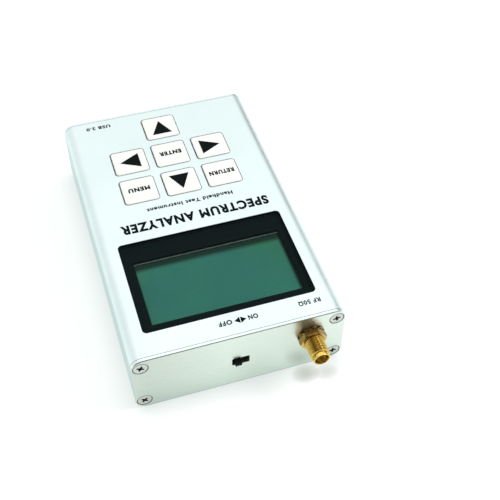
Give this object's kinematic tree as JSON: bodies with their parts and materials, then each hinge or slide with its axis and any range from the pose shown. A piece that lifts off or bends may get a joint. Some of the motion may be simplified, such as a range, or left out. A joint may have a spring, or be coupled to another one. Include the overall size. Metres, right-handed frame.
{
  "type": "handheld spectrum analyzer",
  "caption": "Handheld spectrum analyzer: flat aluminium case with end plates, a monochrome display, square keys, a slide power switch, a threaded coaxial input and a data port.",
  "frame": {"origin": "centre of the case's underside, which lies flat on the table", "axes": "+Z out of the display face, -Y out of the plate with the coaxial input, +X towards the coaxial input's side; the keys' lettering is read from +Y"},
  "size_m": [0.07, 0.1231, 0.0252],
  "materials": {
    "case": "clear-anodised extrusion, satin with a fine grain",
    "end_plate": "satin anodised sheet",
    "steel": "nickel-plated steel",
    "gold": "gold-plated brass, polished",
    "key": "warm white moulded plastic",
    "black_plastic": "black moulded plastic",
    "black_metal": "black lacquered steel sheet",
    "clear": "clear window",
    "display": "green liquid crystal glass",
    "light_guide": "milky light guide",
    "board": "glass-fibre circuit board with green solder mask",
    "insulator": "white fluoropolymer or nylon",
    "battery": "laminated aluminium foil pouch",
    "red_lead": "red wire insulation",
    "black_lead": "black wire insulation",
    "lamp": "amber lens"
  },
  "bodies": {
    "case": {"top_shell": "case", "bottom_shell": "case", "connector_plate": "end_plate", "port_plate": "end_plate", "connector_plate_screw_1": "steel", "connector_plate_screw_2": "steel", "connector_plate_screw_3": "steel", "connector_plate_screw_4": "steel", "port_plate_screw_1": "steel", "port_plate_screw_2": "steel", "port_plate_screw_3": "steel", "port_plate_screw_4": "steel", "display_window": "clear", "display_mask": "black_plastic", "display_bezel": "black_metal", "display_glass": "display", "display_backlight": "light_guide", "display_board": "board", "display_header": "black_plastic", "main_board": "board", "processor": "black_plastic", "receiver_chip": "black_plastic", "crystal": "steel", "receiver_shield": "steel", "coaxial_jack": "gold", "jack_insulator": "insulator", "jack_contact": "gold", "jack_nut": "gold", "jack_lock_washer": "gold", "power_switch_body": "black_plastic", "port_shell": "steel", "port_tongue": "black_plastic", "charge_lamp": "lamp", "battery_cell": "battery", "battery_plug": "insulator", "battery_red_lead": "red_lead", "battery_black_lead": "black_lead", "tact_switch_menu": "steel", "tact_switch_up": "steel", "tact_switch_return": "steel", "tact_switch_right": "steel", "tact_switch_enter": "steel", "tact_switch_left": "steel", "tact_switch_down": "steel"},
    "menu_key": {"key_menu": "key", "plunger_menu": "black_plastic"},
    "up_key": {"key_up": "key", "plunger_up": "black_plastic"},
    "return_key": {"key_return": "key", "plunger_return": "black_plastic"},
    "right_key": {"key_right": "key", "plunger_right": "black_plastic"},
    "enter_key": {"key_enter": "key", "plunger_enter": "black_plastic"},
    "left_key": {"key_left": "key", "plunger_left": "black_plastic"},
    "down_key": {"key_down": "key", "plunger_down": "black_plastic"},
    "power_switch_slider": {"power_switch_knob": "black_plastic"}
  },
  "joints": [
    {"name": "menu_key_press", "type": "slide", "parent": "case", "child": "menu_key", "axis": [0, 0, -1], "range_m": [0, 0.0003], "stiffness_N_per_m": 300, "springref_m": -0.001},
    {"name": "up_key_press", "type": "slide", "parent": "case", "child": "up_key", "axis": [0, 0, -1], "range_m": [0, 0.0003], "stiffness_N_per_m": 300, "springref_m": -0.001},
    {"name": "return_key_press", "type": "slide", "parent": "case", "child": "return_key", "axis": [0, 0, -1], "range_m": [0, 0.0003], "stiffness_N_per_m": 300, "springref_m": -0.001},
    {"name": "right_key_press", "type": "slide", "parent": "case", "child": "right_key", "axis": [0, 0, -1], "range_m": [0, 0.0003], "stiffness_N_per_m": 300, "springref_m": -0.001},
    {"name": "enter_key_press", "type": "slide", "parent": "case", "child": "enter_key", "axis": [0, 0, -1], "range_m": [0, 0.0003], "stiffness_N_per_m": 300, "springref_m": -0.001},
    {"name": "left_key_press", "type": "slide", "parent": "case", "child": "left_key", "axis": [0, 0, -1], "range_m": [0, 0.0003], "stiffness_N_per_m": 300, "springref_m": -0.001},
    {"name": "down_key_press", "type": "slide", "parent": "case", "child": "down_key", "axis": [0, 0, -1], "range_m": [0, 0.0003], "stiffness_N_per_m": 300, "springref_m": -0.001},
    {"name": "power_switch_slide", "type": "slide", "parent": "case", "child": "power_switch_slider", "axis": [1, 0, 0], "range_m": [0, 0.002]}
  ]
}
